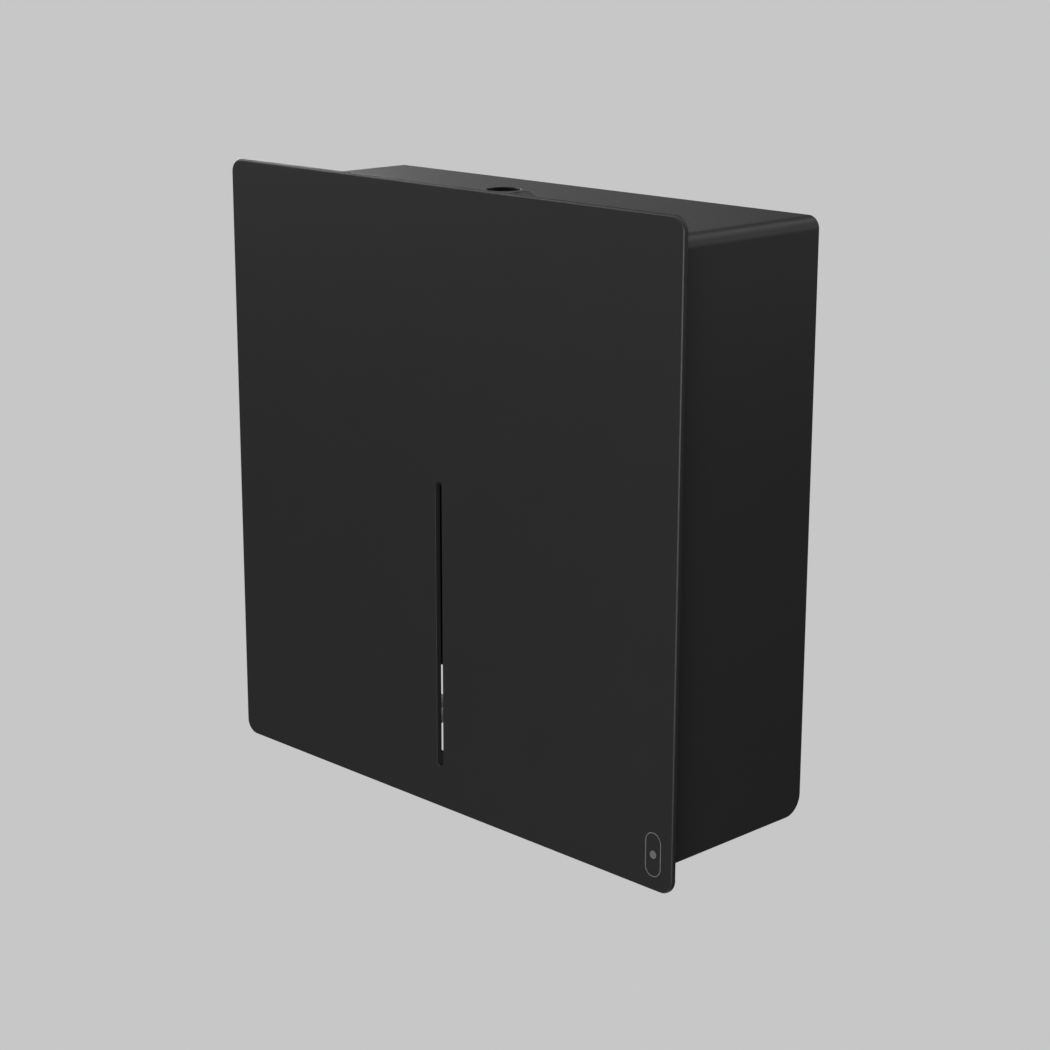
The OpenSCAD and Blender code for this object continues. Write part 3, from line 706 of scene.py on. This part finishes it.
def roll_hub():
    """The turning hub: a flange at the back, and a fluted barrel that grips the roll's core."""
    length = hub_high.y - hub_low.y
    flange = (hub_high.x - hub_low.x) / 2
    barrel = 22 * MM
    bore = 10 * MM
    stations = [10 * MM + (length - 20 * MM) * k / 4 for k in range(5)]
    wall = [(barrel, 3 * MM), (barrel, 6 * MM), (barrel, 8 * MM)]
    wall += [(barrel, w) for w in stations]
    wall += [(barrel, length - 8 * MM), (barrel, length)]
    points = [(bore, 0), (flange, 0), (flange, 3 * MM), *wall, (18 * MM, length), (18 * MM, length - 4 * MM),
              (bore, length - 4 * MM)]
    bm = lathe(turned(points, 0.6 * MM), 216)
    for v in bm.verts:
        radius = math.hypot(v.co.x, v.co.y)
        if abs(radius - barrel) < 0.01 * MM and 9 * MM < v.co.z < length - 9 * MM:
            shrink = 1 - flute_depth(math.atan2(v.co.y, v.co.x)) / radius
            v.co.x *= shrink
            v.co.y *= shrink
    moved(bm, FORWARD, (0, hub_high.y, 0))
    return piece(bm, "roll_hub_fluted", "hub", PLASTIC, "black_plastic", "roll_hub")


def hub_cap():
    """A domed snap-in cap with a shallow finger dish."""
    length = cap_high.y - cap_low.y
    radius = (cap_high.x - cap_low.x) / 2
    dish = [(9 * MM, length), (6 * MM, length - 0.7 * MM), (0, length - 1 * MM)]
    crown = [(radius, length - 3.4 * MM), (radius - 0.6 * MM, length - 1.6 * MM),
             (radius - 2.2 * MM, length - 0.4 * MM), (radius - 5 * MM, length)]
    inner, spigot, roof = 16 * MM, 18 * MM, length - 1.8 * MM
    points = [(0, roof), (inner, roof), (inner, 0), (spigot, 0), (spigot, 4 * MM), (radius, 4 * MM),
              *crown, *dish]
    bm = moved(lathe(turned(points, 0.3 * MM), 96), FORWARD, (0, cap_high.y, 0))
    return piece(bm, "hub_cap_domed", "hub", PLASTIC, "black_plastic", "hub_cap")


# ---- Fasteners, stood on points by Geometry Nodes ---------------------------------------------


def fastener_tree(name):
    """Stands a fastener on every point: sized by Diameter, aimed by Aim, and spun at random."""
    tree = bpy.data.node_groups.new(name, "GeometryNodeTree")
    sockets = {
        "Points": "NodeSocketGeometry", "Fastener": "NodeSocketObject", "Diameter": "NodeSocketFloat",
        "Aim": "NodeSocketVector", "Seed": "NodeSocketInt", "Finish": "NodeSocketMaterial",
    }
    for socket, kind in sockets.items():
        tree.interface.new_socket(socket, in_out="INPUT", socket_type=kind)
    tree.interface.new_socket("Fasteners", in_out="OUTPUT", socket_type="NodeSocketGeometry")
    into = tree.nodes.new("NodeGroupInput")
    out = tree.nodes.new("NodeGroupOutput")
    unit = tree.nodes.new("GeometryNodeObjectInfo")
    spin = tree.nodes.new("FunctionNodeRandomValue")
    spin.data_type = "FLOAT"
    spin.inputs[3].default_value = math.pi * 2
    axis = tree.nodes.new("ShaderNodeCombineXYZ")
    stand = tree.nodes.new("GeometryNodeInstanceOnPoints")
    turn = tree.nodes.new("GeometryNodeRotateInstances")
    aim = tree.nodes.new("FunctionNodeEulerToRotation")
    realize = tree.nodes.new("GeometryNodeRealizeInstances")
    finish = tree.nodes.new("GeometryNodeSetMaterial")
    link = tree.links.new
    link(into.outputs["Fastener"], unit.inputs["Object"])
    link(into.outputs["Points"], stand.inputs["Points"])
    link(unit.outputs["Geometry"], stand.inputs["Instance"])
    link(into.outputs["Aim"], aim.inputs["Euler"])
    link(aim.outputs["Rotation"], stand.inputs["Rotation"])
    link(into.outputs["Diameter"], stand.inputs["Scale"])
    link(into.outputs["Seed"], spin.inputs["Seed"])
    link(spin.outputs[1], axis.inputs["Z"])
    link(stand.outputs["Instances"], turn.inputs["Instances"])
    link(axis.outputs["Vector"], turn.inputs["Rotation"])
    link(turn.outputs["Instances"], realize.inputs["Geometry"])
    link(realize.outputs["Geometry"], finish.inputs["Geometry"])
    link(into.outputs["Finish"], finish.inputs["Material"])
    link(finish.outputs["Geometry"], out.inputs["Fasteners"])
    return tree


FASTENERS = fastener_tree("fasteners_on_points")


def fasteners(name, unit, points, diameter, aim, body, material, slot, *nodes, seed=3):
    """One object that holds a copy of a unit fastener, drawn at diameter 1, on each point."""
    bmesh.ops.recalc_face_normals(unit, faces=unit.faces)
    shape = bpy.data.meshes.new(f"{name}_unit")
    unit.to_mesh(shape)
    unit.free()
    shape.polygons.foreach_set("use_smooth", [True] * len(shape.polygons))
    shape.set_sharp_from_angle(angle=math.radians(35))
    source = bpy.data.objects.new(f"{name}_unit", shape)
    mesh = bpy.data.meshes.new(name)
    mesh.from_pydata([tuple(p) for p in points], [], [])
    obj = bpy.data.objects.new(name, mesh)
    bpy.context.scene.collection.objects.link(obj)
    stand = obj.modifiers.new("fasteners", "NODES")
    stand.node_group = FASTENERS
    values = {"Fastener": source, "Diameter": diameter, "Aim": aim, "Seed": seed, "Finish": material}
    for item in FASTENERS.interface.items_tree:
        if item.in_out == "INPUT" and item.name in values:
            stand[item.identifier] = values[item.name]
    evaluated = obj.evaluated_get(bpy.context.evaluated_depsgraph_get())
    plain = bpy.data.meshes.new_from_object(evaluated)
    obj.modifiers.clear()
    obj.data = plain
    bpy.data.objects.remove(source)
    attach(obj, body)
    if nodes:
        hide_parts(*nodes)
    return obj


def domed_head(height=0.28, steps=5):
    """A rivet head of diameter 1 that stands on w = 0."""
    turns = [math.pi / 2 * k / steps for k in range(1, steps)]
    crown = [(0.5 * math.cos(a), height * math.sin(a)) for a in turns]
    return lathe([(0, -0.02), (0.5, -0.02), (0.5, 0.02), *crown, (0, height)], 24)


def rivet_shank(length):
    """A rivet's shank of diameter 1 with softened ends, from w = 0 up."""
    return lathe([(0, 0), (0.46, 0), (0.5, 0.04), (0.5, length - 0.04), (0.46, length), (0, length)], 24)


def flat_washer(inner, thick):
    """A washer of outer diameter 1, from w = 0 up."""
    return lathe(turned([(inner / 2, 0), (0.5, 0), (0.5, thick), (inner / 2, thick)], thick * 0.15, 2), 40)


def hex_nut(inner, thick):
    """A nut 1 across its flats with chamfered corners and a bore, from w = 0 up."""
    steps, chamfer = 48, 0.06
    corner = 0.5 / math.cos(math.pi / 6)
    bore = inner / 2
    turns = [2 * math.pi * k / steps for k in range(steps)]
    flats = [0.5 / math.cos((a + math.pi / 6) % (math.pi / 3) - math.pi / 6) for a in turns]
    outside = [(0, 0.5), (chamfer, corner), (thick - chamfer, corner), (thick, 0.5)]
    inside = [(thick, bore + 0.04), (thick - 0.05, bore), (0.05, bore), (0, bore + 0.04)]
    bm = bmesh.new()
    rings = []
    for w, limit in outside + inside:
        radii = [min(flat, limit) for flat in flats]
        rings.append([bm.verts.new((r * math.cos(a), r * math.sin(a), w)) for r, a in zip(radii, turns)])
    for low, high in zip(rings, rings[1:] + rings[:1]):
        for i in range(steps):
            j = (i + 1) % steps
            bm.faces.new((low[i], low[j], high[j], high[i]))
    return bm


def threaded_stud(length, pitch=0.175):
    """A stud of diameter 1 with a thread's ridges, from w = 0 up."""
    turns = int((length - 0.25) / pitch)
    wall = []
    for k in range(turns):
        w = 0.2 + k * pitch
        wall += [(0.5, w), (0.42, w + pitch * 0.5)]
    return lathe([(0, 0), (0.5, 0), *wall, (0.5, length - 0.05), (0.42, length), (0, length)], 24)


def solid_centres(node):
    """The middle of each separate solid of a CAD node."""
    bm = bmesh.new()
    bm.from_mesh(frame["nodes"][node].data)
    bmesh.ops.remove_doubles(bm, verts=bm.verts, dist=1e-6)
    seen, centres = set(), []
    for start in bm.verts:
        if start in seen:
            continue
        group, front = [], [start]
        seen.add(start)
        while front:
            v = front.pop()
            group.append(v.co.copy())
            for other in (e.other_vert(v) for e in v.link_edges):
                if other not in seen:
                    seen.add(other)
                    front.append(other)
        low = Vector([min(c[k] for c in group) for k in range(3)])
        high = Vector([max(c[k] for c in group) for k in range(3)])
        centres.append((low + high) / 2)
    bm.free()
    return centres


BACK = (-math.pi / 2, 0, 0)       # a fastener that points to the wall
FRONT = (math.pi / 2, 0, 0)       # a fastener that points forwards
UP = (0, 0, 0)                    # a fastener that points up


def at_y(node, y):
    """The middles of a CAD node's solids, moved to one distance from the wall."""
    return [Vector((c.x, y, c.z)) for c in solid_centres(node)]


STUD = 4 * MM
WASHER = 9 * MM
NUT = 7 * MM


def plate_fasteners():
    """Studs, washers and nuts that hold the shell and the stiffener to the front plate."""
    low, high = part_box("weld_studs")
    stud = threaded_stud((high.y - low.y) / STUD)
    fasteners("weld_stud_threads", stud, at_y("weld_studs", low.y), STUD, BACK,
              "cover", ZINC, "zinc_steel", "weld_studs")
    low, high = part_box("flange_washers")
    washer = flat_washer(4.3 * MM / WASHER, 0.8 * MM / WASHER)
    fasteners("flange_washer_rings", washer, at_y("flange_washers", low.y), WASHER, BACK,
              "cover", ZINC, "zinc_steel", "flange_washers")
    low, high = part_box("flange_nuts")
    nut = hex_nut(STUD / NUT, 3.2 * MM / NUT)
    fasteners("flange_nut_hexes", nut, at_y("flange_nuts", low.y), NUT, BACK,
              "cover", ZINC, "zinc_steel", "flange_nuts")


RIVET = 4 * MM
RIVET_HEAD = 6.8 * MM
BLADE_RIVET_HEAD = 5.5 * MM
HEAD_HEIGHT = 0.16


def chassis_rivets():
    """Rivets with domed heads inside the cabinet, and shanks that end flush in the wall plate's back."""
    for node in ("cheek_rivets", "keeper_rivets"):
        low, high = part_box(node)
        fasteners(f"{node}_heads", domed_head(HEAD_HEIGHT), at_y(node, low.y + 1.1 * MM), RIVET_HEAD, FRONT,
                  "chassis", ZINC, "zinc_steel", node)
        fasteners(f"{node}_tails", rivet_shank(0.28), at_y(node, high.y - 1.2 * MM), RIVET, BACK,
                  "chassis", ZINC, "zinc_steel")
    low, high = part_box("post_rivets")
    fasteners("post_rivet_shanks", rivet_shank(0.98), at_y("post_rivets", high.y - RIVET), RIVET, BACK,
              "chassis", ZINC, "zinc_steel", "post_rivets")
    low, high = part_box("blade_rivets")
    tops = [Vector((c.x, c.y, high.z - 0.9 * MM)) for c in solid_centres("blade_rivets")]
    fasteners("blade_rivet_heads", domed_head(HEAD_HEIGHT), tops, BLADE_RIVET_HEAD, UP,
              "chassis", ZINC, "zinc_steel", "blade_rivets")


# CAD nodes that keep their shape: what each is finished in, and the body it rides on
CAD_FINISHES = {
    "tray_rivets": (ZINC, "chassis"), "hinge_bushes": (NYLON, "chassis"), "stop_pins": (ZINC, "chassis"),
    "post_washer": (ZINC, "chassis"), "post_screw": (ZINC, "chassis"), "hub_bushes": (NYLON, "hub"),
    "hinge_pins": (ZINC, "cover"), "hinge_washers": (NYLON, "cover"), "hinge_clips": (ZINC, "cover"),
    "stop_lugs": (BLACK, "cover"), "lock_housing": (PLASTIC, "cover"), "lock_studs": (ZINC, "cover"),
    "lock_nuts": (ZINC, "cover"), "lock_plug": (CAST, "lock"), "lock_washer": (ZINC, "lock"),
    "lock_cam": (ZINC, "lock"), "cam_screw": (ZINC, "lock"),
}


def small_parts():
    """The CAD nodes that only need softened edges and a finish."""
    slots = {row["node"]: row["material_slot"] for row in frame["record"]["subparts"]}
    for node, (material, body) in CAD_FINISHES.items():
        refined(node, body, material, slots[node], width=0.2 * MM)


# ---- Studio -----------------------------------------------------------------------------------

BACKDROP = 0.571
WORLD_LIGHT = 0.03
FLOOR_HEIGHT = -1.5
FLOOR_SIZE = 60.0
CAMERA_PLACE = (0.84859, -0.88234, 0.29826)
CAMERA_AIM = (-0.68854, 0.67739, -0.25897)
CAMERA_ROLL = math.radians(0.138)
LENS = 81.63


def aimed(way):
    """The turn that points a camera or lamp along a direction, with its top up."""
    return Vector(way).to_track_quat("-Z", "Y")


def lamp(name, size, energy, place, way):
    """A rectangular lamp at a place, pointed along a direction."""
    data = bpy.data.lights.new(name, "AREA")
    data.shape = "RECTANGLE"
    data.size, data.size_y = size
    data.energy = energy
    obj = bpy.data.objects.new(name, data)
    bpy.context.scene.collection.objects.link(obj)
    obj.location = place
    obj.rotation_mode = "QUATERNION"
    obj.rotation_quaternion = aimed(way)


def camera():
    """A camera to the right of the front and a little above it."""
    data = bpy.data.cameras.new("camera")
    data.lens = LENS
    data.sensor_width = 36
    data.clip_start, data.clip_end = 0.05, 50
    obj = bpy.data.objects.new("camera", data)
    bpy.context.scene.collection.objects.link(obj)
    obj.location = CAMERA_PLACE
    obj.rotation_mode = "QUATERNION"
    obj.rotation_quaternion = aimed(CAMERA_AIM) @ Quaternion((0, 0, 1), CAMERA_ROLL)
    bpy.context.scene.camera = obj


def softbox(name, azimuth, height, distance, size, power):
    """A soft lamp aimed at the object from an azimuth, turned from the front to the right, and a height.

    Both are in degrees and the distance and size in metres.
    """
    turn, rise = math.radians(azimuth), math.radians(height)
    way = Vector((math.sin(turn) * math.cos(rise), -math.cos(turn) * math.cos(rise), math.sin(rise)))
    lamp(name, size, power, LIT_POINT + way * distance, -way)


LIT_POINT = Vector((0, -0.05, 0))
# Azimuth, height, distance, size and power of each softbox
SOFTBOXES = {
    "left_side": (-112, 15, 2.0, (0.6, 0.9), 25.1),
    "left": (-65, 25, 2.0, (1.0, 0.8), 14.4),
    "high_left": (-30, 45, 2.0, (1.2, 1.0), 3.8),
    "low_left": (-45, -30, 2.0, (1.2, 1.0), 0.44),
    "overhead": (0, 88, 1.8, (1.4, 1.4), 11.6),
    "left_of_camera": (30, 0, 2.2, (0.8, 0.8), 15.3),
    "right_of_camera": (50, 0, 2.2, (0.8, 0.8), 13.5),
    "below_camera": (45, -20, 2.2, (0.8, 0.8), 2.2),
    "underneath": (0, -88, 1.3, (1.2, 1.2), 3.0),
    "right_rear": (135, 12, 2.0, (0.7, 0.7), 2.3),
    "high_right_rear": (140, 35, 2.0, (0.6, 0.5), 1.8),
    "high_rear": (165, 45, 2.0, (0.6, 0.5), 2.5),
    "high_left_rear": (-152, 42, 2.0, (0.6, 0.5), 0.33),
    "left_rear": (-135, 15, 2.0, (0.6, 0.6), 0.31),
}


SLOT_GLOW_SIZE = (0.034, 0.07)
SLOT_GLOW_RADIANCE = 1.3


def slot_glow():
    """A small lamp low behind the body that lights the tray's edge, seen through the slot."""
    width, height = SLOT_GLOW_SIZE
    energy = SLOT_GLOW_RADIANCE * math.pi * width * height
    lamp("slot_glow", SLOT_GLOW_SIZE, energy, (-0.130, 0.012, -0.168), (0.70, -0.68, 0.22))


def floor():
    """A plain pale floor far below the wall cabinet, of the backdrop's shade."""
    bm = bmesh.new()
    bmesh.ops.create_grid(bm, x_segments=1, y_segments=1, size=FLOOR_SIZE / 2)
    bmesh.ops.translate(bm, verts=bm.verts, vec=(0, 0, FLOOR_HEIGHT))
    mesh = bpy.data.meshes.new("floor")
    bm.to_mesh(mesh)
    bm.free()
    obj = bpy.data.objects.new("floor", mesh)
    bpy.context.scene.collection.objects.link(obj)
    pale = bpy.data.materials.new("pale_floor")
    pale.use_nodes = True
    pale.node_tree.nodes.clear()
    glow = pale.node_tree.nodes.new("ShaderNodeEmission")
    glow.inputs["Color"].default_value = (*grey(BACKDROP), 1)
    out = pale.node_tree.nodes.new("ShaderNodeOutputMaterial")
    pale.node_tree.links.new(glow.outputs["Emission"], out.inputs["Surface"])
    mesh.materials.append(pale)
    obj.visible_diffuse = obj.visible_glossy = obj.visible_transmission = obj.visible_shadow = False


def studio():
    """A plain pale backdrop and soft lights round the object."""
    scene = bpy.context.scene
    scene.view_settings.view_transform = "Standard"
    world = bpy.data.worlds.new("studio")
    scene.world = world
    world.use_nodes = True
    tree = world.node_tree
    tree.nodes.clear()
    out = tree.nodes.new("ShaderNodeOutputWorld")
    seen = tree.nodes.new("ShaderNodeBackground")
    seen.inputs["Color"].default_value = (*grey(BACKDROP), 1)
    lit = tree.nodes.new("ShaderNodeBackground")
    lit.inputs["Color"].default_value = (*grey(1.0), 1)
    lit.inputs["Strength"].default_value = WORLD_LIGHT
    path = tree.nodes.new("ShaderNodeLightPath")
    mix = tree.nodes.new("ShaderNodeMixShader")
    tree.links.new(path.outputs["Is Camera Ray"], mix.inputs["Fac"])
    tree.links.new(lit.outputs["Background"], mix.inputs[1])
    tree.links.new(seen.outputs["Background"], mix.inputs[2])
    tree.links.new(mix.outputs["Shader"], out.inputs["Surface"])
    for name, values in SOFTBOXES.items():
        softbox(name, *values)
    slot_glow()


# ---- Making -----------------------------------------------------------------------------------

camera()
studio()
floor()
front_plate()
cover_shell()
mark_panel()
lower_stiffener()
emblem()
closing_bumpers()
wall_plate()
cheeks()
outlet_tray()
tear_blades()
keeper()
roll_post()
backing_disc()
felt_ring()
roll_hub()
hub_cap()
plate_fasteners()
chassis_rivets()
small_parts()
